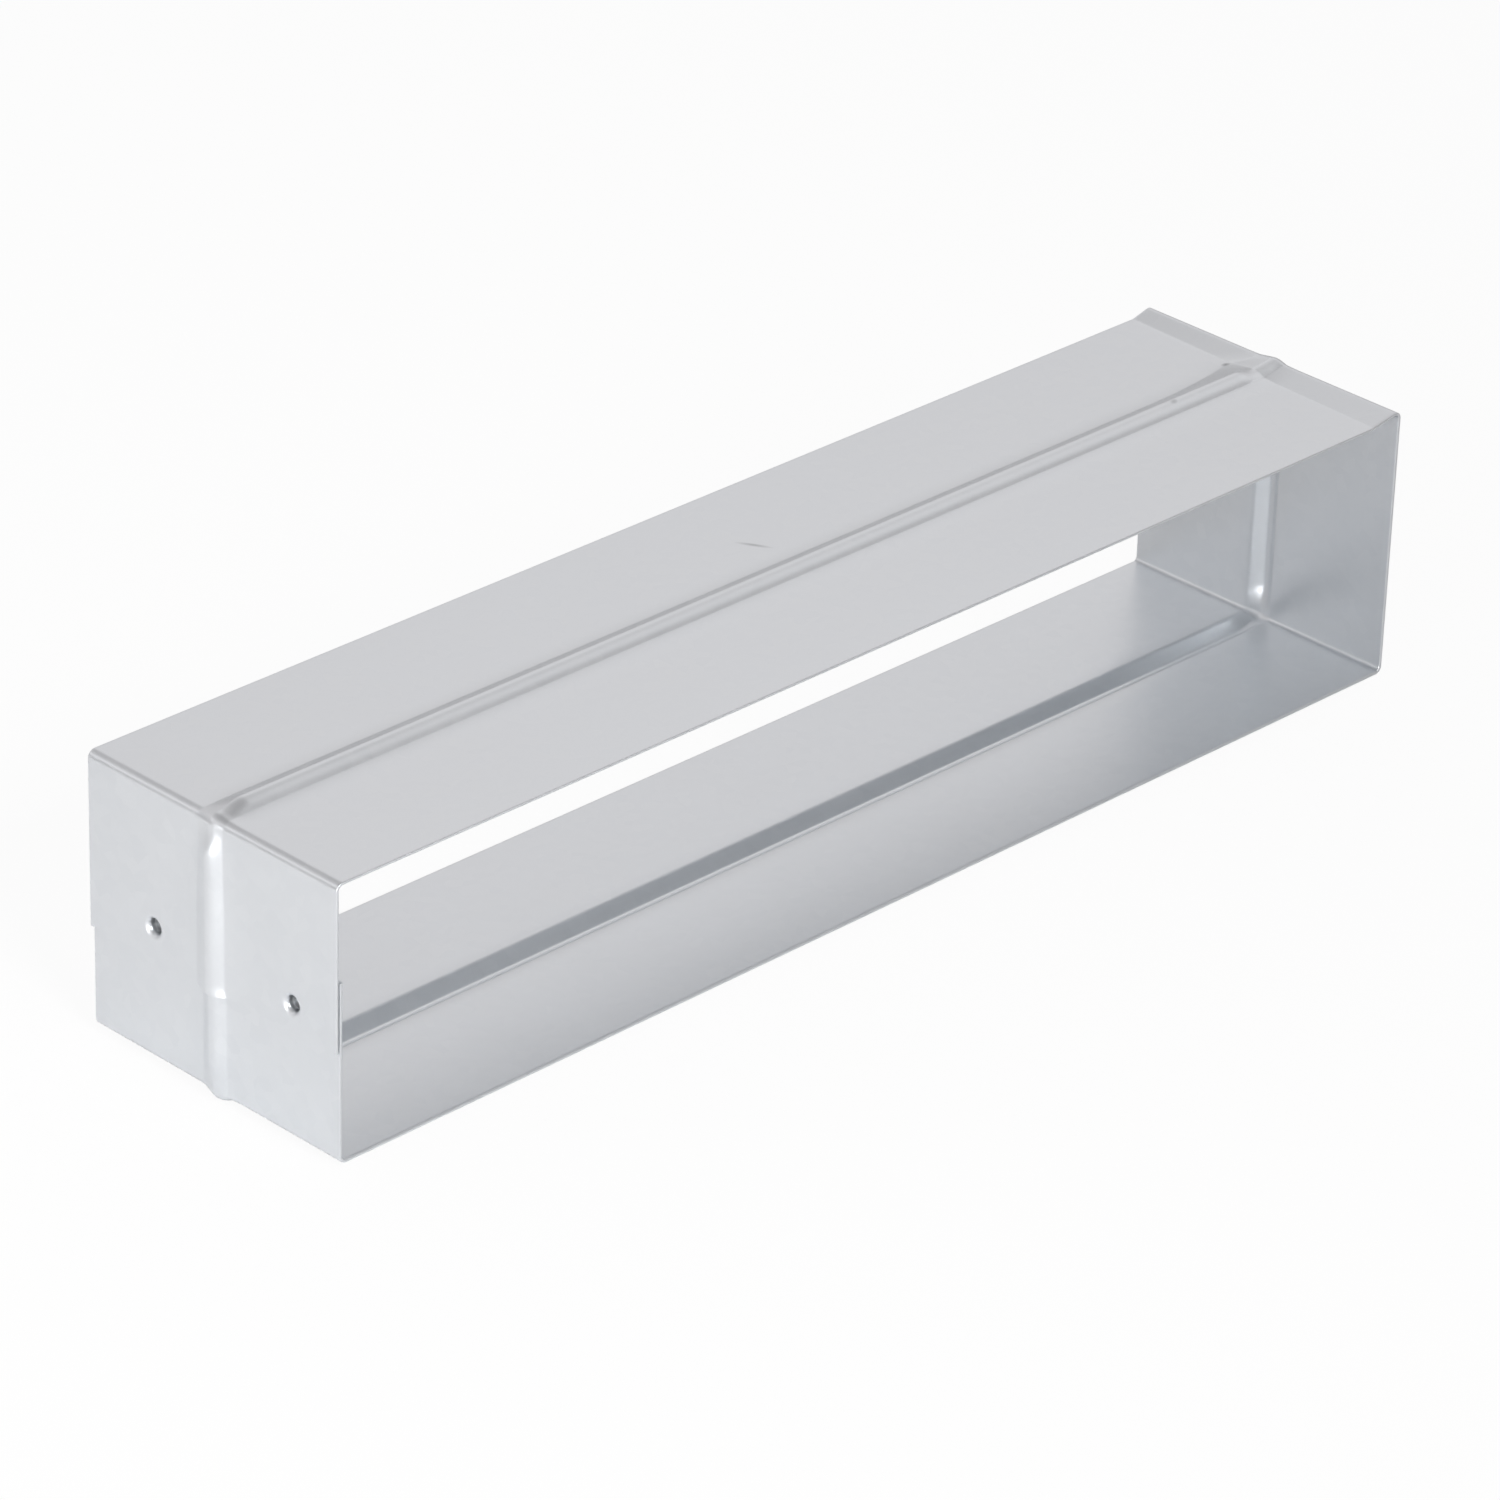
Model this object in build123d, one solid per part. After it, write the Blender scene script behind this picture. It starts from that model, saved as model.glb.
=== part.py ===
"""Flat duct connector: a galvanised sleeve that joins two lengths of flat rectangular duct.

One strip of sheet is rolled with a bead along its middle, folded four times into a flat
rectangular sleeve, and lapped on the left end wall, where two press joints hold it.
Millimetres, +Z up. X runs along the long side, Y through the sleeve from opening to opening.
The origin lies under the middle of the sleeve, at the height of the lowest bead's crest.
"""
import os
from collections import namedtuple
from math import atan, cos, radians, sin

from build123d import *

# The sleeve, measured outside its flat walls
body_length = 247.5
body_depth = 58.0
body_height = 50.0
sheet = 0.6
fold_radius = 0.8  # inside each fold

# The bead, an outward ridge round the middle that stops the ducts
bead_width = 6.4  # of the ridge, between the soft skirts at its feet
bead_height = 1.6
foot_radius = 0.6  # at mid sheet, where the ridge leaves a skirt
skirt_width = 3.0
skirt_rise = 0.3
crushed_height = 0.55  # what is left of the bead where a fold crosses it
crushed_at_lip = 0.95
crushed_low_left = 0.95
crush_length = 5.0  # how far from a fold the bead is back at its full height
crush_steps = 4

# The raised lip where the top wall meets the right fold
lip_slope = 11.5  # degrees
lip_width = 4.6
lip_hollow_radius = 1.0
flare_spread = 1.65  # of the bead's far side at the lip, as a multiple of its usual width
flare_length = 23.0
flare_steps = 4

# The lap on the left end wall
lap_bottom = 19.3  # lower end of the outer layer, above the underside
lap_top = 32.4  # upper end of the inner layer, above the underside
lap_gap = 0.15
lap_spread = 1.08  # of the outer layer's bead, so that it lies over the inner one
end_slant = 1.4  # the outer layer ends lower at the far opening by this much

# The press joints through the lap
joint_from_near = 10.3
joint_from_far = 15.3
joint_height = 24.6  # above the underside
joint_bore = 2.6
joint_mouth = 1.0  # radius round the mouth of the recess
joint_depth = 1.5  # of the recess, from the outer layer's face
joint_floor = 0.45
joint_button = 4.6
joint_rim = 0.4  # radius round the end of the button
joint_collar = 6.0

# Worked out from the sizes above
half_length = body_length / 2
half_depth = body_depth / 2
underside = bead_height
lap_step = sheet + lap_gap

# A bead as it is cut across: its height, and the spread of its near and its far side
Bead = namedtuple("Bead", "height near far", defaults=(bead_height, 1.0, 1.0))


def arc(side, centre, reach, start, end):
    """Arc of a face between two slopes, round a centre above it, or below for a reach under 0."""
    y, z = centre
    slopes = (start, (start + end) / 2, end)
    return ThreePointArc(*((side * (y - reach * sin(slope)), z - reach * cos(slope)) for slope in slopes))


def half_line(side, height, spread, level):
    """Edges of one face of the sheet from its cut edge to the crest, at a level above its inner face."""
    middle = sheet / 2
    above = level - middle
    ridge = spread * bead_width / 2
    skirt = spread * skirt_width
    rise = skirt_rise * height / bead_height

    skirt_slope = 2 * atan(rise / skirt)
    skirt_radius = skirt / sin(skirt_slope)
    foot_y = ridge + foot_radius * sin(skirt_slope)
    foot_z = rise + foot_radius * cos(skirt_slope)
    flank_slope = 2 * atan((height + foot_radius - foot_z) / foot_y)
    crest_radius = foot_y / sin(flank_slope) - foot_radius
    return [
        Line((side * half_depth, level), (side * (ridge + skirt), level)),
        arc(side, (ridge + skirt, middle + skirt_radius), skirt_radius - above, 0, skirt_slope),
        arc(side, (foot_y, middle + foot_z), foot_radius - above, skirt_slope, flank_slope),
        arc(side, (0, middle + height - crest_radius), -crest_radius - above, flank_slope, 0),
    ]


def sheet_section(bead):
    """The strip cut across: its width along local X, its outer face towards local +Y."""
    edges = []
    for side, spread in ((-1, bead.near), (1, bead.far)):
        edges.append(Line((side * half_depth, 0), (side * half_depth, sheet)))
        edges += half_line(side, bead.height, spread, 0)
        edges += half_line(side, bead.height, spread, sheet)
    return make_face(edges)


def shares(steps):
    """Even shares of a way, from 0 to 1."""
    return [number / steps for number in range(steps + 1)]


def eased(share):
    """A share from 0 to 1 that starts and ends slowly."""
    return share * share * (3 - 2 * share)


class Strip:
    """The strip as it is laid round the sleeve: a point on its inner face and a heading."""

    def __init__(self, x, z, heading):
        self.x, self.z, self.heading = x, z, heading
        self.pieces = []

    def plane(self):
        """Cutting plane at the point: local X along the depth, local Y out of the sleeve."""
        along = radians(self.heading)
        return Plane(origin=(self.x, 0, self.z), x_dir=(0, 1, 0), z_dir=(cos(along), 0, sin(along)))

    def step(self, length):
        self.x += length * cos(radians(self.heading))
        self.z += length * sin(radians(self.heading))

    def run(self, length, bead):
        """A straight stretch with an even bead."""
        self.pieces.append(extrude(self.plane() * sheet_section(bead), length))
        self.step(length)

    def blend(self, length, beads):
        """A straight stretch on which the bead passes through these cuts at even steps."""
        last = self.plane() * sheet_section(beads[0])
        for bead in beads[1:]:
            self.step(length / (len(beads) - 1))
            cut = self.plane() * sheet_section(bead)
            self.pieces.append(loft([last, cut], ruled=True))
            last = cut

    def ramp(self, start_height, end_height):
        """A straight stretch beside a fold, on which the bead grows or sinks."""
        growth = end_height - start_height
        beads = [Bead(start_height + growth * eased(share)) for share in shares(crush_steps)]
        self.blend(crush_length, beads)

    def fold(self, angle, radius, bead):
        """Turn inwards by this angle round an inside radius, or outwards if it is negative."""
        reach = radius if angle > 0 else -(radius + sheet)
        out = radians(self.heading + 90)
        centre_x = self.x - reach * cos(out)
        centre_z = self.z - reach * sin(out)
        turn = Axis((centre_x, 0, centre_z), (0, 1 if angle > 0 else -1, 0))
        self.pieces.append(revolve(self.plane() * sheet_section(bead), turn, abs(angle)))
        self.heading -= angle
        out = radians(self.heading + 90)
        self.x = centre_x + reach * cos(out)
        self.z = centre_z + reach * sin(out)


def wall(strip, length, first_height, last_height):
    """A wall between two folds, which leave the bead these heights."""
    strip.ramp(first_height, bead_height)
    strip.run(length - 2 * crush_length, Bead())
    strip.ramp(bead_height, last_height)


def flared(height, left):
    """The bead on the top wall, with this length left before the lip."""
    return Bead(height, far=1 + (flare_spread - 1) * (1 - left / flare_length) ** 2)


def top_wall(strip, length):
    """The top wall, on which the bead spreads to its far side before it sinks at the lip."""
    strip.ramp(crushed_height, bead_height)
    strip.run(length - crush_length - flare_length, Bead())
    growing = flare_length - crush_length
    sunk = bead_height - crushed_at_lip
    spreading = [flared(bead_height, flare_length - growing * share) for share in shares(flare_steps)]
    sinking = [flared(bead_height - sunk * eased(share), crush_length * (1 - share))
               for share in shares(crush_steps)]
    strip.blend(growing, spreading)
    strip.blend(crush_length, sinking)


def folded_strip():
    """The whole strip, from the outer layer of the lap round to the inner one."""
    corner = fold_radius + sheet
    top = underside + body_height
    crushed = Bead(crushed_height)
    over_lap = Bead(near=lap_spread, far=lap_spread)

    strip = Strip(-half_length + sheet, underside + lap_bottom - end_slant / 2, 90)
    strip.run(underside + lap_top + lap_step - strip.z, over_lap)
    strip.blend(top - corner - crush_length - strip.z, [over_lap, Bead()])
    strip.ramp(bead_height, crushed_height)
    strip.fold(90, fold_radius, crushed)

    lean = radians(lip_slope)
    hollow = lip_hollow_radius + sheet
    lip_reach = hollow * sin(lean) + lip_width * cos(lean) + fold_radius * (1 + sin(lean))
    top_wall(strip, half_length - sheet - lip_reach - strip.x)
    strip.fold(-lip_slope, lip_hollow_radius, flared(crushed_at_lip, 0))
    strip.blend(lip_width, [flared(crushed_at_lip, 0), crushed])
    strip.fold(90 + lip_slope, fold_radius, crushed)

    wall(strip, strip.z - underside - corner, crushed_height, crushed_height)
    strip.fold(90, fold_radius, crushed)
    wall(strip, strip.x + half_length - lap_step - corner, crushed_height, crushed_low_left)
    strip.fold(90, fold_radius, Bead(crushed_low_left))

    strip.ramp(crushed_low_left, bead_height)
    strip.run(underside + lap_top - strip.z, Bead())
    return strip.pieces


def end_trim():
    """What is cut away below the slanted lower end of the outer layer."""
    low = underside + lap_bottom - end_slant / 2
    outside = -half_length - 2 * bead_height
    corners = [(-half_depth, low), (half_depth, low), (-half_depth, low + end_slant)]
    waste = Plane.YZ.offset(outside) * make_face(Polyline(*corners, close=True))
    return extrude(waste, 2 * bead_height + sheet + lap_gap / 2)


def joint_places():
    """Middle of each press joint on the outer face of the lap, from the near opening."""
    height = underside + joint_height
    return [(-half_depth + joint_from_near, height), (half_depth - joint_from_far, height)]


def press_joint(y, z):
    """Both layers drawn inwards together: a round recess outside, a button inside."""
    bore = joint_bore / 2
    button = joint_button / 2
    collar = joint_collar / 2
    stack = lap_step + sheet
    base = joint_depth + joint_floor
    profile = [
        Line((collar, 0), (bore + joint_mouth, 0)),
        JernArc((bore + joint_mouth, 0), (-1, 0), joint_mouth, -90),
        Line((bore, joint_mouth), (bore, joint_depth)),
        Line((bore, joint_depth), (0, joint_depth)),
        Line((0, joint_depth), (0, base)),
        Line((0, base), (button - joint_rim, base)),
        JernArc((button - joint_rim, base), (1, 0), joint_rim, -90),
        Line((button, base - joint_rim), (button, stack)),
        Line((button, stack), (collar, stack)),
        Line((collar, stack), (collar, 0)),
    ]
    across = Plane(origin=(-half_length, y, z), x_dir=(0, 1, 0), z_dir=(0, 0, -1))
    inwards = Plane(origin=(-half_length, y, z), x_dir=(0, 1, 0), z_dir=(1, 0, 0))
    joint = across * revolve(make_face(profile), Axis.Y)
    room = inwards * Cylinder(collar, stack, align=(Align.CENTER, Align.CENTER, Align.MIN))
    return joint, room


def sleeve():
    """The finished sleeve as one solid."""
    pieces = folded_strip()
    whole = pieces[0].fuse(*pieces[1:])
    whole = whole - end_trim()
    for y, z in joint_places():
        joint, room = press_joint(y, z)
        whole = whole - room + joint
    return whole


os.makedirs("parts", exist_ok=True)
export_step(sleeve(), "parts/sleeve.step")
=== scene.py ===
"""Looks of the flat duct connector.

The sleeve's sheet is modelled again with smooth folds, a smooth bead and its press joints, and
finished as satin galvanised steel. It stands on a plain pale floor in soft studio light.
Shapes are worked out in millimetres, and turned into metres when their mesh is made. Places of
lamps and the values of the materials are in metres.
"""

from collections import namedtuple
from functools import lru_cache
from itertools import product
from math import asin, atan, atan2, ceil, cos, pi, radians, sin, sqrt, tan

import bpy
from mathutils import Matrix, Vector


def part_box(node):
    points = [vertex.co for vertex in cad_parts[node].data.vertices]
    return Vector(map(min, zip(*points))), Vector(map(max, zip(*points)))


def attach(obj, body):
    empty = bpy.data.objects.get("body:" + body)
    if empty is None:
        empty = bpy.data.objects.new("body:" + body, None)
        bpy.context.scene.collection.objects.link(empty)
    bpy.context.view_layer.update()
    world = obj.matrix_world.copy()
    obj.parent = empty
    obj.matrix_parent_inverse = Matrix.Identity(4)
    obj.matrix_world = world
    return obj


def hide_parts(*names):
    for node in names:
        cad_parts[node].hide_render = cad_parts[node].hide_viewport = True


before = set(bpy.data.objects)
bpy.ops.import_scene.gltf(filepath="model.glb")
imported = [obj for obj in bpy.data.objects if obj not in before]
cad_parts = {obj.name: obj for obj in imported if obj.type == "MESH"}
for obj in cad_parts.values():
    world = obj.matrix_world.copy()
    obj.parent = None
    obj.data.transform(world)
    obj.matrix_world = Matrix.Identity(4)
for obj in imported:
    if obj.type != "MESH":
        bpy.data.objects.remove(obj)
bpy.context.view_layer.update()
low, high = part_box("sleeve")
MM = 0.001

# Half of the bead: how wide the ridge is from crest to foot, how wide and how high the soft skirt
# beyond it is, and the radius of the crest
Side = namedtuple("Side", "ridge skirt rise crest")

# The sheet and its bead
sheet = 0.6
bead_height = 1.6
near_side = Side(ridge=2.7, skirt=3.6, rise=0.26, crest=5.0)
far_side = Side(ridge=3.55, skirt=3.0, rise=0.12, crest=1.4)
crest_shift = -0.5  # of the crest from the middle of the strip, towards the near opening
plate_foot = 0.45  # radius at mid sheet where the near half leaves its skirt, on the long walls
end_foot = 1.2  # the same on the two end walls
fold_foot = 1.2  # and at the folds
far_foot = 2.4  # and of the far half, everywhere
outer_droop = 0.12  # radius along a cut edge, on the outer face
inner_droop = 0.28  # and on the inner face
clearance = 0.01  # kept inside the solid's box

# The sleeve, from the solid's box
half_depth = (high.y - low.y) / 2 / MM
half_length = (high.x - low.x) / 2 / MM - bead_height
underside = low.z / MM + bead_height
body_height = (high.z - low.z) / MM - 2 * bead_height

# The folds
fold_radius = 0.8  # on the inner face
crushed_height = 0.55  # what a fold leaves of the bead
crushed_at_lip = 0.95
crushed_low_left = 0.95
crush_length = 5.0  # how far from a fold the bead is back at its full height
flare_spread = 1.65  # of the bead's far side at the lip, as a multiple of its usual width
flare_length = 23.0
lip_slope = 11.5  # degrees, of the strip of the top wall beside the right fold
lip_width = 4.6
lip_hollow_radius = 1.0
lip_slant = 0.95  # the lip is this much wider at the near opening than in the middle
slant_run = 12.0  # length of the top wall over which its rows turn to follow the slant

# The lap on the left end wall
lap_bottom = 19.3  # lower end of the outer layer, above the underside
lap_top = 32.4  # upper end of the inner layer, above the underside
lap_gap = 0.15
lap_step = sheet + lap_gap
lap_spread = 1.12  # of the outer layer's bead, so that it lies over the inner one
end_slant = 1.4  # the outer layer ends lower at the far opening by this much
slant_reach = 1.9  # how far up the outer layer the slant is felt
end_flare = 0.16  # added to the spread of the bead's near side at the outer layer's end
flare_height = 2.4  # above the end, where that flare is gone
end_sink = 0.07  # by which the outer layer's bead is lower above its flared end
sink_fade = 8.0  # length before the upper fold's crushed stretch over which it rises again

# The press joints
joint_from_near = 10.3
joint_from_far = 15.3
joint_height = 24.6  # above the underside
joint_bore = 2.6
joint_rim = 1.0  # radius round the mouth of the recess
joint_depth = 1.5  # of the recess, from the outer face
joint_floor = 0.45  # thickness under the recess
joint_button = 4.6
joint_button_rim = 0.4
joint_button_fillet = 0.15
joint_collar = 6.0
mouth_margin = 0.2  # flat face between the second ring and the rounded mouth
floor_rings = ((0.03, 0.2), (0.15, 0.05), (0.4, 0.0))  # in from the bore, and above the floor
dome_share = 0.4  # of the bore, at the last ring on the floor
dome_rise = 0.1
tip_share = 0.5  # of the button, at the last ring on its tip
joint_patch = 6.8  # side of the square in the grid that a joint takes up
joint_cells = 12  # cells along that square's side
joint_z = underside + joint_height
joint_middles = (-half_depth + joint_from_near, half_depth - joint_from_far)
recess_shade_starts = 0.25  # depth at which painted shade starts to darken a recess
recess_shade_reach = 0.9  # share of the rounded mouth that painted shade can darken

# Wear on the top wall: a scratch, and two dark spots on and beside the bead
Mark = namedtuple("Mark", "x y turn length width strength")
marks = (
    Mark(x=4.8, y=10.3, turn=-60, length=7.2, width=1.2, strength=0.6),
    Mark(x=96.1, y=-0.9, turn=20, length=2.4, width=1.6, strength=0.9),
    Mark(x=116.4, y=5.1, turn=0, length=2.2, width=1.5, strength=0.9),
)
mark_reach = 3.0  # above and below the top wall

# How finely the mesh is divided along the strip
fold_step = 8.0  # degrees
least_fold_rows = 3
fine_step = 0.5  # where the bead changes
coarse_step = 5.0  # where it doesn't
lap_step_along = 1.0  # on the lap, beside the joints
slant_rows = (0.35, 0.8, 1.3, slant_reach)  # above the outer layer's end
even_run = 1.0  # past the last stretch beside a fold, before the rows of the inner layer

# And across it
edge_step = 0.4  # beside a cut edge
near_flat_step = 2.0
far_flat_step = 2.5
bead_step = 0.16
skirt_step = 0.45
foot_margin = 0.3  # by which the finest columns reach past the bead's widest foot
skirt_margin = 0.5

# Steps of a quarter round
droop_steps = 4
rim_steps = 9
tip_steps = 5

# The finish
metallic = 0.92
zinc_tones = ((0.745, 0.772, 0.800), (0.780, 0.805, 0.830))
zinc_ends = (0.25, 0.75)  # of the shade, where the first tone ends and the last one starts
zinc_roughness = (0.31, 0.39)
shade_and_wear_zinc = (0.28, 0.29, 0.30)  # painted shade in the depth of the recesses, and the colour of a wear mark of full strength
crystal_scale = 420.0
crystal_share = 0.4  # of the shade, the rest being the clouds'
cloud_scale = 45.0
cloud_detail = 3.0
grain_scale = 3200.0
grain_detail = 2.0
grain_strength = 0.25
grain_height = 0.00002
node_gap = 220  # between the nodes as the editor shows them
nodes_down = 5

# The floor, whose paint gives way to plain white by these shares
floor_reach = 4.0
floor_white = 0.88
floor_for_camera = 0.94
floor_for_metal = 0.06

# The surroundings: height, from the horizon at 0 to straight up at 1, and how bright it is there
sky_bands = (
    (0.0, 0.44),
    (0.20, 0.45),
    (0.30, 0.54),
    (0.47, 0.83),
    (0.56, 0.79),
    (0.70, 0.52),
    (1.0, 0.30),
)
sky_warmth = 1.03  # how much stronger its red is
# Strength of that light by its direction along Y, which is -1 straight from the front
front_dimming = {"From Min": -0.65, "From Max": -0.30, "To Min": 0.48, "To Max": 0.95}

# The lamps: width and height in metres, power in watts, spread in degrees
Lamp = namedtuple("Lamp", "name place aim size power spread", defaults=(180,))
low_middle = (0, 0, 0.02)
lamps = (
    Lamp("key", place=(-0.45, -1.15, 0.8), aim=(-0.35, -0.1, 0), size=(0.4, 0.4), power=1.6, spread=50),
    Lamp("low", place=(-1.5, -0.5, 0.1), aim=(-0.12, 0, 0.03), size=(1.6, 0.12), power=11.0),
    Lamp("corner", place=(-1.3, 1.25, 0.75), aim=low_middle, size=(0.7, 0.7), power=0.6),
    Lamp("side", place=(1.2, 0.0, 1.4), aim=low_middle, size=(1.0, 1.0), power=1.1),
    Lamp("back", place=(1.4, 1.35, 1.25), aim=low_middle, size=(1.1, 1.1), power=0.8),
)

# The camera, fitted to the corners of the sleeve in the photograph
camera_azimuth = 45.787  # degrees
camera_elevation = 28.167
camera_roll = 1.822
focal_length = 173.75
film_width = 36.0
corner_seen = (-0.06398, 1.11926, -0.06450)  # of the near left corner: to the right, ahead and up

# Tolerances
tiny = 1e-6  # for rounding errors
place_digits = 6  # to which places along a wall are rounded
same_height = 0.01  # within which a corner counts as lying at the outer layer's end
sharp_from = 35  # degrees between two faces, from which their shading is split


def spaced(start, end, step):
    """Evenly spaced values after start, up to and with end."""
    count = max(1, ceil(abs(end - start) / step - tiny))
    return [start + (end - start) * k / count for k in range(1, count + 1)]


def eased(share):
    """A share from 0 to 1 that starts and ends slowly."""
    share = min(max(share, 0.0), 1.0)
    return share * share * (3 - 2 * share)


# Half the bead as it is cut across: the radii of its foot, crest and skirt, the middle of the
# foot's arc, the flank's slope, and how far from the crest each part ends
Half = namedtuple("Half", (
    "foot", "crest", "skirt", "foot_y", "foot_z", "slope",
    "crest_end", "flank_end", "ridge_end", "skirt_end",
))


@lru_cache(maxsize=None)
def half_bead(height, side, spread, foot):
    """Half the bead at mid sheet: arcs of a skirt, a foot and the crest, and a straight flank."""
    ridge = spread * side.ridge
    skirt = spread * side.skirt
    rise = side.rise * height / bead_height
    skirt_slope = 2 * atan(rise / skirt)
    foot_y = ridge + foot * sin(skirt_slope)
    foot_z = rise + foot * cos(skirt_slope)
    steepest = 2 * atan((height + foot - foot_z) / foot_y)
    crest = min(side.crest, foot_y / sin(steepest) - foot)
    below = foot_z + crest - height
    flank = sqrt(max(0.0, foot_y * foot_y + below * below - (crest + foot) ** 2))
    slope = atan2(foot_y, below) - atan2(flank, crest + foot)
    return Half(
        foot=foot, crest=crest, skirt=skirt / sin(skirt_slope),
        foot_y=foot_y, foot_z=foot_z, slope=slope,
        crest_end=crest * sin(slope), flank_end=foot_y - foot * sin(slope),
        ridge_end=ridge, skirt_end=ridge + skirt,
    )


def bead_line(y, row):
    """Height and slope of the middle of the sheet, at y across the strip."""
    y -= crest_shift
    if y > 0:
        half = half_bead(row.height, far_side, row.far, far_foot)
    else:
        half = half_bead(row.height, near_side, row.near, row.foot)
    across = abs(y)
    if across >= half.skirt_end:
        return 0.0, 0.0
    if across < half.crest_end:
        turn = asin(across / half.crest)
        rise = row.height - half.crest * (1 - cos(turn))
    elif across < half.flank_end:
        turn = half.slope
        rise = row.height - half.crest * (1 - cos(turn)) - (across - half.crest_end) * tan(turn)
    elif across < half.ridge_end:
        turn = asin((half.foot_y - across) / half.foot)
        rise = half.foot_z - half.foot * cos(turn)
    else:
        turn = asin((half.skirt_end - across) / half.skirt)
        rise = half.skirt * (1 - cos(turn))
    return rise, (-1 if y > 0 else 1) * tan(turn)


def sheet_columns():
    """Places across the strip where the mesh has a line of corners, from near to far."""
    near, far = joint_middles
    reach = joint_patch / 2
    cell = joint_patch / joint_cells
    edge = half_depth - outer_droop
    foot = lap_spread * far_side.ridge + foot_margin
    skirt_end = lap_spread * (far_side.ridge + far_side.skirt) + skirt_margin
    stretches = (
        (-edge + edge_step, edge_step), (near - reach, near_flat_step), (near + reach, cell),
        (-skirt_end, near_flat_step), (-foot, skirt_step), (foot, bead_step),
        (far - reach, skirt_step), (far + reach, cell),
        (edge - edge_step, far_flat_step), (edge, edge_step),
    )
    columns = [-edge]
    for end, step in stretches:
        columns += spaced(columns[-1], end, step)
    return columns


# A row of the mesh: its place and heading, the bead's height, the radius of its near foot, its
# spread to either side, and the row's share of the lip's slant
Row = namedtuple("Row", "x z heading height foot near far slide")


def even(left):
    """Spread of the bead's near and far sides where nothing widens it."""
    return 1.0, 1.0


def over_lap(left):
    """Spread on the outer layer of the lap, with this length left before the bead sinks."""
    single = body_height - fold_radius - sheet - crush_length - lap_top - lap_step
    spread = 1 + (lap_spread - 1) * min(1.0, left / single)
    return spread, spread


def flared(left):
    """Spread on the top wall, with this length left before the lip."""
    return 1.0, 1 + (flare_spread - 1) * max(0.0, 1 - left / flare_length) ** 2


def wall_places(length, last_run):
    """Row places along a wall, finer beside its first fold and over a last run."""
    starts = min(crush_length, length / 2)
    ends = max(length - last_run, starts)
    places = spaced(0, starts, fine_step)
    places += spaced(starts, ends, coarse_step)
    places += spaced(ends, length, fine_step)
    return places


class Walk:
    """A walk along the strip's inner face, seen from the near opening."""

    def __init__(self, x, z, heading):
        self.x, self.z, self.heading = x, z, radians(heading)
        self.rows = []

    def add_row(self, height, foot=fold_foot, near=1.0, far=1.0, slide=0.0):
        self.rows.append(Row(self.x, self.z, self.heading, height, foot, near, far, slide))

    def go(self, distance):
        self.x += distance * cos(self.heading)
        self.z += distance * sin(self.heading)

    def straight(self, length, start_height=bead_height, end_height=bead_height, spread=even, places=()):
        """Rows along a flat stretch, on which the bead sinks towards the folds at its ends."""
        at_lip = spread is flared
        places = places or wall_places(length, flare_length if at_lip else crush_length)
        stands = abs(sin(self.heading)) > abs(cos(self.heading))
        wall_foot = end_foot if stands else plate_foot
        gone = 0.0
        for place in sorted({round(place, place_digits) for place in (*places, length)}):
            self.go(place - gone)
            gone = place
            left = length - place
            after_fold = 1 - eased(place / crush_length) if start_height < bead_height else 0.0
            before_fold = 1 - eased(left / crush_length) if end_height < bead_height else 0.0
            height = bead_height
            height -= (bead_height - start_height) * after_fold + (bead_height - end_height) * before_fold
            foot = wall_foot + (fold_foot - wall_foot) * (after_fold + before_fold)
            slide = 1 - eased(left / slant_run) if at_lip else 0.0
            self.add_row(height, foot, *spread(left), slide)

    def lip(self, length, start_height, end_height):
        """Rows up the lip, over which the bead narrows again and the slant dies out."""
        for place in spaced(0, length, fine_step):
            self.go(length / ceil(length / fine_step))
            left = 1 - place / length
            far = 1 + (flare_spread - 1) * left * left
            self.add_row(end_height + (start_height - end_height) * left, far=far, slide=left)

    def fold(self, angle, radius, height, far=1.0, slide=0.0):
        """Turn inwards by this angle round an inside radius, or outwards if it is negative."""
        reach = radius if angle > 0 else -(radius + sheet)
        count = max(least_fold_rows, ceil(abs(angle) / fold_step))
        turn = radians(angle) / count
        centre_x = self.x + reach * sin(self.heading)
        centre_z = self.z - reach * cos(self.heading)
        for _ in range(count):
            self.heading -= turn
            self.x = centre_x - reach * sin(self.heading)
            self.z = centre_z + reach * cos(self.heading)
            self.add_row(height, far=far, slide=slide)


def lap_places(start, end):
    """Row places on the lapped part of a layer, with even rows at the press joints."""
    reach = joint_patch / 2
    places = spaced(start, joint_z - reach, lap_step_along)
    places += spaced(joint_z - reach, joint_z + reach, joint_patch / joint_cells)
    places += spaced(joint_z + reach, end, lap_step_along)
    return [place - start for place in places]


def outer_layer(walk, end):
    """The lap's outer layer up to this height. Its bead lies wide at the cut end and lower above it."""
    start = walk.z
    walk.add_row(bead_height, end_foot, lap_spread, lap_spread)
    upper = lap_places(start + slant_reach, end)
    places = [*slant_rows, *(place + slant_reach for place in upper)]
    walk.straight(end - start, spread=over_lap, places=places)
    for number, row in enumerate(walk.rows):
        flare = 1 - min(1.0, (row.z - start) / flare_height)
        sunk = end_sink * (1 - flare) * eased((walk.z - row.z) / sink_fade)
        walk.rows[number] = row._replace(height=row.height - sunk, near=row.near + end_flare * flare)


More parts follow.
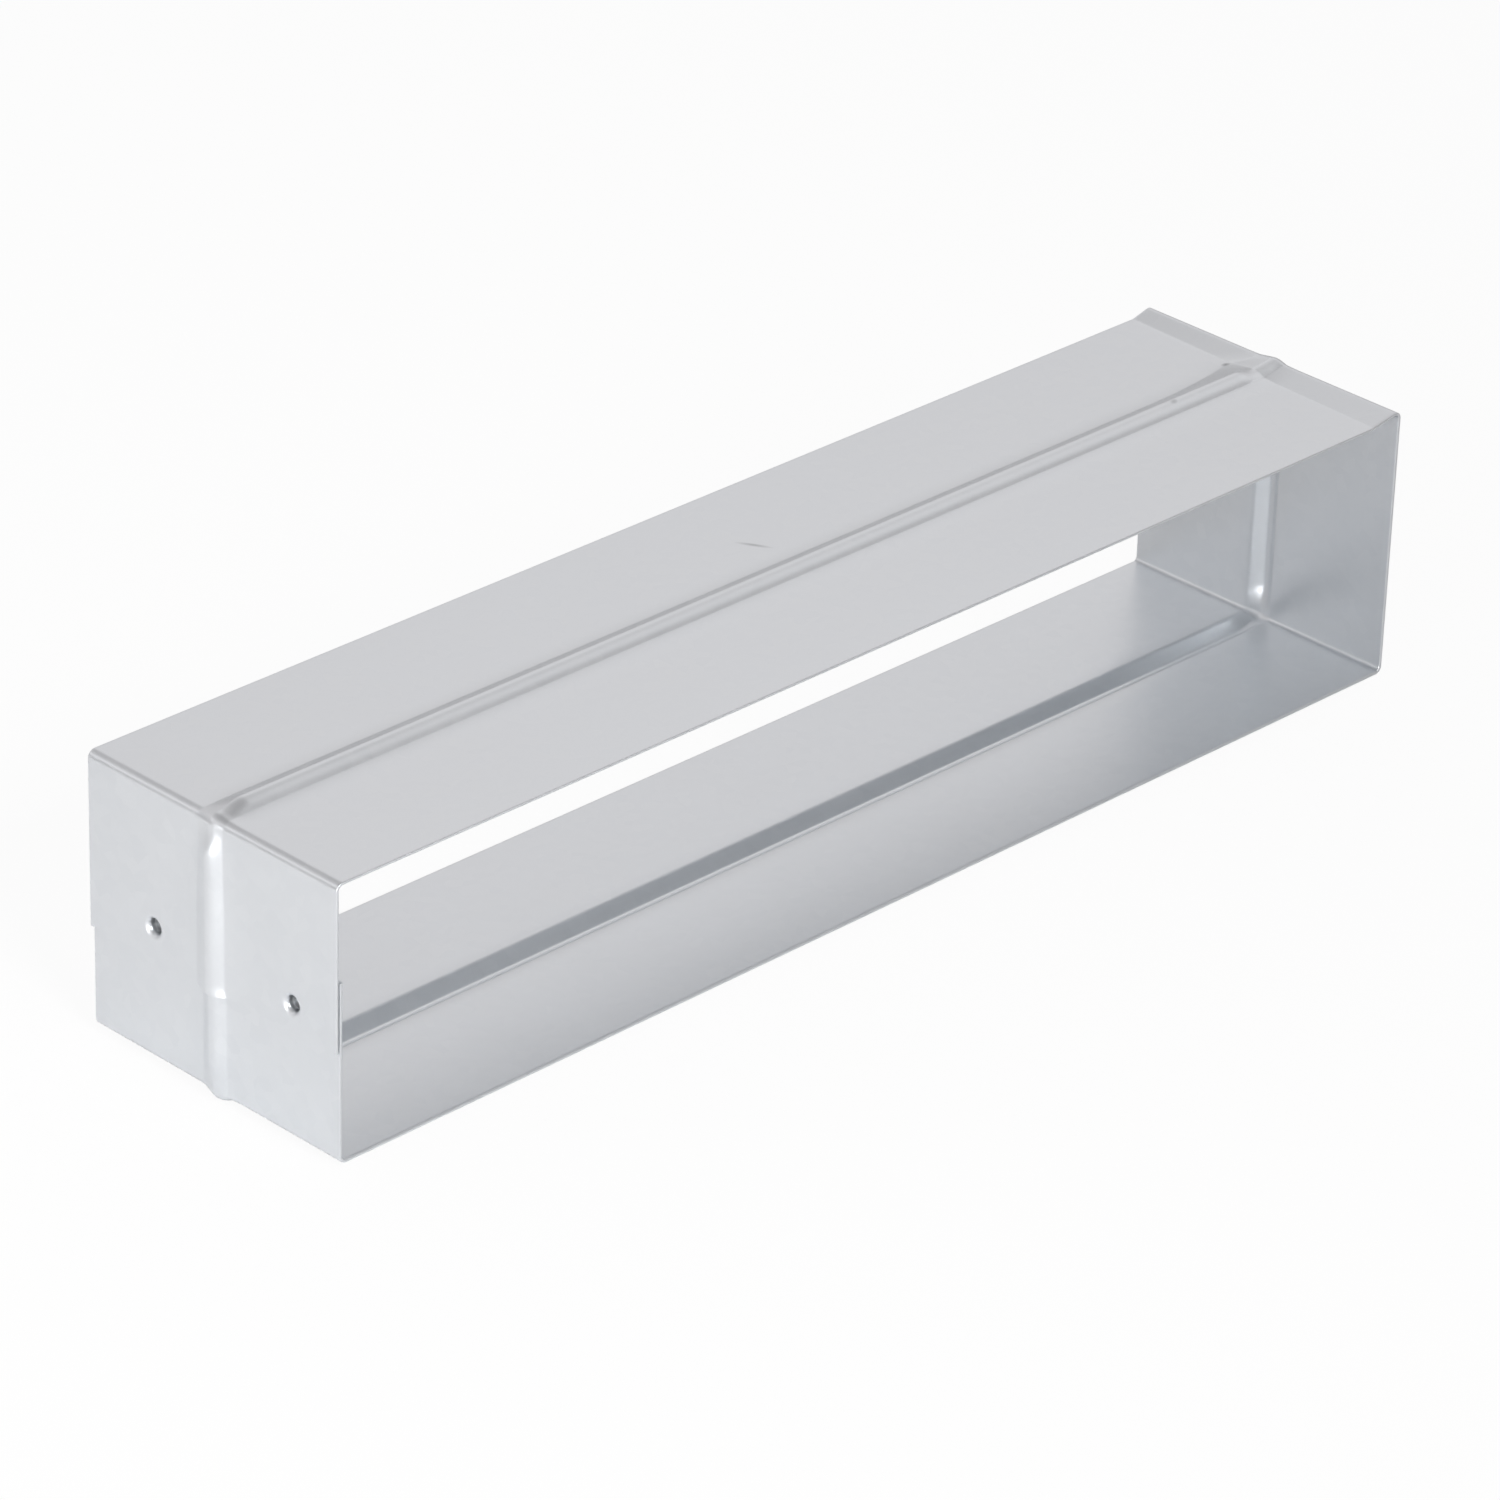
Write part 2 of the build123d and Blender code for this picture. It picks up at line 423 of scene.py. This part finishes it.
def walk_strip():
    """The whole strip, from the outer layer of the lap round to the inner one."""
    corner = fold_radius + sheet
    top = underside + body_height
    walk = Walk(-half_length + sheet, underside + lap_bottom - end_slant / 2, 90)
    outer_layer(walk, top - corner - crush_length)
    walk.straight(top - corner - walk.z, end_height=crushed_height)
    walk.fold(90, fold_radius, crushed_height)

    lean = radians(lip_slope)
    hollow = lip_hollow_radius + sheet
    lip_reach = hollow * sin(lean) + lip_width * cos(lean) + fold_radius * (1 + sin(lean))
    walk.straight(half_length - sheet - lip_reach - walk.x, crushed_height, crushed_at_lip, flared)
    walk.fold(-lip_slope, lip_hollow_radius, crushed_at_lip, flare_spread, 1.0)
    walk.lip(lip_width, crushed_at_lip, crushed_height)
    walk.fold(90 + lip_slope, fold_radius, crushed_height)

    walk.straight(walk.z - underside - corner, crushed_height, crushed_height)
    walk.fold(90, fold_radius, crushed_height)
    walk.straight(walk.x + half_length - lap_step - corner, crushed_height, crushed_low_left)
    walk.fold(90, fold_radius, crushed_low_left)

    walk.straight(crush_length + even_run, crushed_low_left)
    end = underside + lap_top
    walk.straight(end - walk.z, places=lap_places(walk.z, end))
    return walk.rows


def face_point(row, y, level):
    """A point of the sheet, level being its height above the inner face."""
    rise, slope = bead_line(y, row)
    tilt = sqrt(1 + slope * slope)
    above = level - sheet / 2
    out = sheet / 2 + rise + above / tilt
    slant = row.slide * lip_slant * y / half_depth
    return (row.x - out * sin(row.heading) + slant, y - above * slope / tilt,
            row.z + out * cos(row.heading))


def edge_line(side):
    """Places and levels of the corners down a cut edge, which droops at both faces."""
    turns = [pi / 2 * k / droop_steps for k in range(1, droop_steps + 1)]
    line = []
    for turn in turns:
        y = half_depth - outer_droop * (1 - sin(turn))
        line.append((side * y, sheet - outer_droop * (1 - cos(turn))))
    for turn in turns[::-1]:
        y = half_depth - inner_droop * (1 - sin(turn))
        line.append((side * y, inner_droop * (1 - cos(turn))))
    return line


class Sheet:
    """Corners and faces of the sleeve's mesh."""

    def __init__(self, rows, columns):
        self.rows, self.columns = rows, columns
        self.points, self.faces = [], []
        self.rings = [self.ring(row) for row in rows]

    def add(self, point):
        self.points.append(point)
        return len(self.points) - 1

    def ring(self, row):
        """The section's corners: the outer face, the far edge, the inner face, the near edge."""
        inner_columns = list(self.columns)
        inner_columns[0], inner_columns[-1] = inner_droop - half_depth, half_depth - inner_droop
        outer = [self.add(face_point(row, y, sheet)) for y in self.columns]
        far = [self.add(face_point(row, y, level)) for y, level in edge_line(1)]
        inner = [self.add(face_point(row, y, 0)) for y in inner_columns]
        near = [self.add(face_point(row, y, level)) for y, level in edge_line(-1)]
        return {"outer": outer, "far": far, "inner": inner, "near": near}

    def close_faces(self, number, holes):
        """The outer and the inner face between a row and the next one."""
        for side in ("outer", "inner"):
            one, two = self.rings[number][side], self.rings[number + 1][side]
            for column in range(len(self.columns) - 1):
                if (side, number, column) in holes:
                    continue
                quad = [one[column], one[column + 1], two[column + 1], two[column]]
                self.faces.append(quad if side == "outer" else quad[::-1])

    def close_edges(self, number):
        """Both cut edges between a row and the next one."""
        one, two = self.rings[number], self.rings[number + 1]
        for edge, end in (("far", -1), ("near", 0)):
            chain_one = [one["outer"][end], *one[edge], one["inner"][end]]
            chain_two = [two["outer"][end], *two[edge], two["inner"][end]]
            for k in range(len(chain_one) - 1):
                quad = [chain_one[k], chain_one[k + 1], chain_two[k + 1], chain_two[k]]
                self.faces.append(quad if edge == "far" else quad[::-1])

    def close_rows(self, holes):
        """Faces between neighbouring rows, without the cells that the press joints take."""
        for number in range(len(self.rows) - 1):
            self.close_faces(number, holes)
            self.close_edges(number)

    def close_end(self, ring, first):
        """The cut end of the strip."""
        quads = []
        for column in range(len(self.columns) - 1):
            outer, inner = ring["outer"], ring["inner"]
            quads.append([outer[column], inner[column], inner[column + 1], outer[column + 1]])
        quads.append([ring["outer"][-1], ring["inner"][-1], *ring["far"][::-1]])
        quads.append([*ring["near"], ring["inner"][0], ring["outer"][0]])
        self.faces += quads if first else [quad[::-1] for quad in quads]

    def square(self, side, first_row, first_column):
        """Corners round the square of cells of a joint, in turn, starting at its first corner."""
        n = joint_cells
        steps = [(0, k) for k in range(n)] + [(k, n) for k in range(n)]
        steps += [(n, n - k) for k in range(n)] + [(n - k, 0) for k in range(n)]
        return [self.rings[first_row + r][side][first_column + c] for r, c in steps]

    def band(self, one, two, flip):
        """Faces between two closed chains of as many corners."""
        count = len(one)
        for k in range(count):
            quad = [one[k], one[(k + 1) % count], two[(k + 1) % count], two[k]]
            self.faces.append(quad[::-1] if flip else quad)

    def dish(self, rim, centre, profile, flip, closed=True):
        """Rings inside a square: profile gives each ring's radius and its place along X."""
        y, z = centre
        angles = []
        for corner in rim:
            _, corner_y, corner_z = self.points[corner]
            reach = max(abs(corner_y - y), abs(corner_z - z))
            angles.append(self.square_angle((corner_y - y) / reach, (corner_z - z) / reach))
        last = rim
        for radius, x in profile:
            ring = [self.add((x, y + radius * cos(a), z + radius * sin(a))) for a in angles]
            self.band(last, ring, flip)
            last = ring
        if closed:
            self.close_middle(last, (profile[-1][1], y, z), flip)
        return last

    def close_middle(self, ring, middle, flip):
        """A fan of faces from a ring to its middle."""
        middle = self.add(middle)
        count = len(ring)
        for k in range(count):
            fan = [ring[k], ring[(k + 1) % count], middle]
            self.faces.append(fan[::-1] if flip else fan)

    @staticmethod
    def square_angle(u, v):
        """Angle round a circle for a point on the square from -1 to 1: even steps stay even."""
        eighth = pi / 4
        if u >= 1 - tiny:
            return v * eighth
        if v >= 1 - tiny:
            return 2 * eighth - u * eighth
        if u <= -1 + tiny:
            return 4 * eighth - v * eighth
        return 6 * eighth + u * eighth

    def mesh(self, name):
        made = bpy.data.meshes.new(name)
        made.from_pydata([[v * MM for v in point] for point in self.points], [], self.faces)
        made.validate()
        made.update()
        return made


def recess_profile():
    """Radius and place along X of the rings down a joint's recess, from its collar to its floor."""
    bore = joint_bore / 2
    face = -half_length
    rings = [(joint_collar / 2, face), (bore + joint_rim + mouth_margin, face)]
    for k in range(rim_steps + 1):
        turn = k / rim_steps * pi / 2
        rings.append((bore + joint_rim - joint_rim * sin(turn), face + joint_rim * (1 - cos(turn))))
    deepest = face + joint_depth
    rings += [(bore - inset, deepest - rise) for inset, rise in floor_rings]
    rings.append((bore * dome_share, deepest - dome_rise))
    return rings


def button_profile():
    """The same for the joint's button on the inner face, from its collar to its tip."""
    button = joint_button / 2
    fillet = joint_button_fillet
    rim = joint_button_rim
    face = -half_length + (lap_step + sheet)
    tip = -half_length + (joint_depth + joint_floor)
    rings = [(joint_collar / 2, face), (button + fillet, face), (button, face + fillet)]
    for k in range(tip_steps + 1):
        turn = k * pi / (2 * tip_steps)
        rings.append((button - rim * (1 - cos(turn)), tip - rim * (1 - sin(turn))))
    rings.append((button * tip_share, tip))
    return rings


def nearest(values, goal, numbers):
    """The number, among these, of the value that is nearest to a goal."""
    return min(numbers, key=lambda number: abs(values[number] - goal))


def joint_squares(strip):
    """First row of the joints' squares in the outer and in the inner layer, and their first columns."""
    heights = [row.z for row in strip.rows]
    half_rows = len(heights) // 2
    reach = joint_patch / 2
    outer_row = nearest(heights, joint_z - reach, range(half_rows))
    inner_row = nearest(heights, joint_z - reach, range(half_rows, len(heights)))
    all_columns = range(len(strip.columns))
    columns = [nearest(strip.columns, middle - reach, all_columns) for middle in joint_middles]
    return outer_row, inner_row, columns


def joint_holes(first_rows, first_columns):
    """Cells that the joints take up in both layers, on the outer and on the inner face."""
    holes = set()
    for row, column in product(first_rows, first_columns):
        for r, c in product(range(joint_cells), repeat=2):
            holes.add(("outer", row + r, column + c))
            holes.add(("inner", row + r, column + c))
    return holes


def press_joints(strip):
    """Both layers drawn inwards together: a recess outside, a button inside, joined round a collar."""
    outer_row, inner_row, columns = joint_squares(strip)
    strip.close_rows(joint_holes((outer_row, inner_row), columns))
    collar = joint_collar / 2
    under_outer = [(collar, -half_length + sheet)]
    over_inner = [(collar, -half_length + lap_step)]
    for middle, column in zip(joint_middles, columns):
        centre = (middle, joint_z)
        strip.dish(strip.square("outer", outer_row, column), centre, recess_profile(), False)
        strip.dish(strip.square("inner", inner_row, column), centre, button_profile(), True)
        outer_square = strip.square("inner", outer_row, column)
        inner_square = strip.square("outer", inner_row, column)
        upper = strip.dish(outer_square, centre, under_outer, True, closed=False)
        lower = strip.dish(inner_square, centre, over_inner, False, closed=False)
        strip.band(upper, lower, True)


def slant_lap(strip):
    """Slants the lower end of the outer layer, so that it ends lower at the far opening."""
    start = strip.rows[0].z
    for k, (x, y, z) in enumerate(strip.points):
        if x < -half_length + sheet + lap_gap / 2 and start - same_height < z < start + slant_reach:
            share = 1 - (z - start) / slant_reach
            strip.points[k] = (x, y, z + share * end_slant * (half_depth - y) / (2 * half_depth))


def keep_inside(strip):
    """Holds every corner inside the solid's box."""
    floor_z, roof_z = low.z / MM + clearance, high.z / MM - clearance
    side_x = high.x / MM - clearance
    for k, (x, y, z) in enumerate(strip.points):
        strip.points[k] = (min(max(x, -side_x), side_x), y, min(max(z, floor_z), roof_z))


def paint_recess_shade(mesh):
    """Gives each corner inside a joint's recess its share of the depth, by which painted shade darkens
    the finish.
    """
    # This attribute holds how much painted shade each corner of a recess gets.
    share = mesh.attributes.new("recess", "FLOAT", "POINT")
    reach = joint_bore / 2 + recess_shade_reach * joint_rim
    for number, corner in enumerate(mesh.vertices):
        x, y, z = corner.co / MM
        depth = x + half_length
        for middle in joint_middles:
            from_middle = sqrt((y - middle) ** 2 + (z - joint_z) ** 2)
            if recess_shade_starts < depth < joint_depth + clearance and from_middle < reach:
                share.data[number].value = (depth - recess_shade_starts) / (joint_depth - recess_shade_starts)


def sleeve():
    """The sleeve as a piece that stands for the solid."""
    strip = Sheet(walk_strip(), sheet_columns())
    press_joints(strip)
    strip.close_end(strip.rings[0], True)
    strip.close_end(strip.rings[-1], False)
    slant_lap(strip)
    keep_inside(strip)
    mesh = strip.mesh("sleeve_sheet")
    for face in mesh.polygons:
        face.use_smooth = True
    mesh.set_sharp_from_angle(angle=radians(sharp_from))
    paint_recess_shade(mesh)
    piece = bpy.data.objects.new("sleeve_sheet", mesh)
    bpy.context.scene.collection.objects.link(piece)
    mesh.materials.append(galvanised())
    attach(piece, "root")
    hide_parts("sleeve")


def add_node(tree, kind, **settings):
    """A new node beside the others, with its settings and the values of its inputs."""
    column, row = divmod(len(tree.nodes), nodes_down)
    made = tree.nodes.new("ShaderNode" + kind)
    made.location = (column * node_gap, -row * node_gap)
    for name, value in settings.items():
        if hasattr(made, name):
            setattr(made, name, value)
        else:
            made.inputs[name.replace("_", " ").title()].default_value = value
    return made


def scaled(tree, value, factor):
    """A value of a node, times a factor."""
    times = add_node(tree, "Math", operation="MULTIPLY")
    tree.links.new(value, times.inputs[0])
    times.inputs[1].default_value = factor
    return times.outputs["Value"]


def larger(tree, one, other):
    """The larger of two values of nodes."""
    most = add_node(tree, "Math", operation="MAXIMUM")
    tree.links.new(one, most.inputs[0])
    tree.links.new(other, most.inputs[1])
    return most.outputs["Value"]


def mixed(tree, share, one, other, kind):
    """Two shaders mixed by a share, as the surface of a material or a world."""
    mix = add_node(tree, "MixShader")
    tree.links.new(share, mix.inputs["Fac"])
    tree.links.new(one, mix.inputs[1])
    tree.links.new(other, mix.inputs[2])
    tree.links.new(mix.outputs["Shader"], add_node(tree, kind).inputs["Surface"])


def shade_and_wear(tree, place, darker):
    """The larger of the factor given, the painted shade of the recesses, and those of the wear marks,
    each an ellipsoid that fades outwards.
    """
    top = underside + body_height
    for mark in marks:
        local = add_node(tree, "Mapping", vector_type="TEXTURE")
        local.inputs["Location"].default_value = (mark.x * MM, mark.y * MM, top * MM)
        local.inputs["Rotation"].default_value = (0, 0, radians(mark.turn))
        local.inputs["Scale"].default_value = (mark.length / 2 * MM, mark.width / 2 * MM, mark_reach * MM)
        tree.links.new(place, local.inputs["Vector"])
        fade = add_node(tree, "TexGradient", gradient_type="SPHERICAL")
        tree.links.new(local.outputs["Vector"], fade.inputs["Vector"])
        darker = larger(tree, darker, scaled(tree, fade.outputs["Fac"], mark.strength))
    return darker


def zinc_colour(tree, place, shade):
    """The tones of the zinc, with painted shade in the recesses, and darker where the wear marks are."""
    tone = add_node(tree, "ValToRGB")
    for element, position, colour in zip(tone.color_ramp.elements, zinc_ends, zinc_tones):
        element.position = position
        element.color = (*colour, 1)
    tree.links.new(shade, tone.inputs["Fac"])
    recess = add_node(tree, "Attribute", attribute_name="recess")
    # Mixes painted shade into the recesses, and the dark of the wear marks into the zinc.
    shaded_and_worn = add_node(tree, "Mix", data_type="RGBA")
    shaded_and_worn.inputs["B"].default_value = (*shade_and_wear_zinc, 1)
    tree.links.new(shade_and_wear(tree, place, recess.outputs["Fac"]), shaded_and_worn.inputs["Factor"])
    tree.links.new(tone.outputs["Color"], shaded_and_worn.inputs["A"])
    return shaded_and_worn.outputs["Result"]


def galvanised():
    """Satin zinc with faint crystals, fine grain and soft clouds, wear marks, and painted shade in the
    recesses.
    """
    material = bpy.data.materials.new("galvanised")
    material.use_nodes = True
    tree = material.node_tree
    link = tree.links.new
    shader = tree.nodes["Principled BSDF"]
    shader.inputs["Metallic"].default_value = metallic

    place = add_node(tree, "TexCoord").outputs["Object"]
    crystals = add_node(tree, "TexVoronoi", scale=crystal_scale)
    grain = add_node(tree, "TexNoise", scale=grain_scale, detail=grain_detail)
    clouds = add_node(tree, "TexNoise", scale=cloud_scale, detail=cloud_detail)
    for texture in (crystals, grain, clouds):
        link(place, texture.inputs["Vector"])
    shade = add_node(tree, "Mix", data_type="FLOAT")
    shade.inputs["Factor"].default_value = crystal_share
    link(clouds.outputs["Fac"], shade.inputs["A"])
    link(crystals.outputs["Color"], shade.inputs["B"])
    link(zinc_colour(tree, place, shade.outputs["Result"]), shader.inputs["Base Color"])

    gloss = add_node(tree, "MapRange")
    gloss.inputs["To Min"].default_value, gloss.inputs["To Max"].default_value = zinc_roughness
    link(shade.outputs["Result"], gloss.inputs["Value"])
    link(gloss.outputs["Result"], shader.inputs["Roughness"])
    bump = add_node(tree, "Bump", strength=grain_strength, distance=grain_height)
    link(grain.outputs["Fac"], bump.inputs["Height"])
    link(bump.outputs["Normal"], shader.inputs["Normal"])
    return material


def floor_paint():
    """White paint. The camera sees most of it as pure white, metal mirrors it a little brighter."""
    material = bpy.data.materials.new("white_floor")
    material.use_nodes = True
    tree = material.node_tree
    tree.nodes.clear()
    paint = add_node(tree, "BsdfDiffuse")
    paint.inputs["Color"].default_value = (floor_white, floor_white, floor_white, 1)
    white = add_node(tree, "Emission", strength=1.0)
    rays = add_node(tree, "LightPath")
    for_camera = scaled(tree, rays.outputs["Is Camera Ray"], floor_for_camera)
    for_metal = scaled(tree, rays.outputs["Is Glossy Ray"], floor_for_metal)
    share = larger(tree, for_camera, for_metal)
    mixed(tree, share, paint.outputs["BSDF"], white.outputs["Emission"], "OutputMaterial")
    return material


def floor():
    """A plain square under the sleeve, which keeps its soft shadow."""
    mesh = bpy.data.meshes.new("floor")
    size = floor_reach
    corners = [(-size, -size, 0), (size, -size, 0), (size, size, 0), (-size, size, 0)]
    mesh.from_pydata(corners, [], [(0, 1, 2, 3)])
    plane = bpy.data.objects.new("floor", mesh)
    bpy.context.scene.collection.objects.link(plane)
    mesh.materials.append(floor_paint())


def sky_light(tree):
    """Light that is brightest a third of the way up, grey overhead and dimmer from the front."""
    place = add_node(tree, "TexCoord")
    split = add_node(tree, "SeparateXYZ")
    tree.links.new(place.outputs["Generated"], split.inputs["Vector"])
    ramp = add_node(tree, "ValToRGB")
    ramp.color_ramp.interpolation = "EASE"
    for height, _ in sky_bands[1:-1]:
        ramp.color_ramp.elements.new(height)
    for element, (height, grey) in zip(ramp.color_ramp.elements, sky_bands):
        element.position = height
        element.color = (grey * sky_warmth, grey, grey, 1)
    tree.links.new(split.outputs["Z"], ramp.inputs["Fac"])
    dim = add_node(tree, "MapRange", interpolation_type="SMOOTHSTEP")
    for name, value in front_dimming.items():
        dim.inputs[name].default_value = value
    tree.links.new(split.outputs["Y"], dim.inputs["Value"])
    lit = add_node(tree, "Background")
    tree.links.new(ramp.outputs["Color"], lit.inputs["Color"])
    tree.links.new(dim.outputs["Result"], lit.inputs["Strength"])
    return lit.outputs["Background"]


def studio():
    """Soft surroundings for the sleeve, and plain white for the camera."""
    world = bpy.data.worlds.new("studio")
    bpy.context.scene.world = world
    world.use_nodes = True
    tree = world.node_tree
    tree.nodes.clear()
    lit = sky_light(tree)
    seen = add_node(tree, "Background", strength=1.0)
    seen.inputs["Color"].default_value = (1, 1, 1, 1)
    rays = add_node(tree, "LightPath")
    mixed(tree, rays.outputs["Is Camera Ray"], lit, seen.outputs["Background"], "OutputWorld")


def add_lamp(lamp):
    """A soft lamp of some width and height at a place, turned towards another."""
    light = bpy.data.lights.new(lamp.name, "AREA")
    light.shape = "RECTANGLE"
    light.size, light.size_y = lamp.size
    light.energy = lamp.power
    light.spread = radians(lamp.spread)
    holder = bpy.data.objects.new(lamp.name, light)
    holder.location = lamp.place
    way = Vector(lamp.aim) - Vector(lamp.place)
    holder.rotation_euler = way.to_track_quat("-Z", "Y").to_euler()
    bpy.context.scene.collection.objects.link(holder)


def camera():
    """The photograph's camera, from where it sees the sleeve's lower near left corner."""
    corner = Vector((-half_length, -half_depth, underside)) * MM
    turn_level = Matrix.Rotation(radians(camera_azimuth), 3, "Z")
    turn_down = Matrix.Rotation(radians(camera_elevation), 3, "X")
    turn_roll = Matrix.Rotation(radians(camera_roll), 3, "Y")
    seen = turn_roll @ turn_down @ turn_level
    right, ahead, up = seen[0], seen[1], seen[2]
    place = corner - seen.transposed() @ Vector(corner_seen)
    pose = Matrix((right, up, -ahead)).transposed().to_4x4()

    lens = bpy.data.cameras.new("camera")
    lens.sensor_width = film_width
    lens.lens = focal_length
    holder = bpy.data.objects.new("camera", lens)
    holder.matrix_world = Matrix.Translation(place) @ pose
    bpy.context.scene.collection.objects.link(holder)
    bpy.context.scene.camera = holder


bpy.context.scene.view_settings.view_transform = "Standard"
camera()
sleeve()
floor()
studio()
for lamp in lamps:
    add_lamp(lamp)
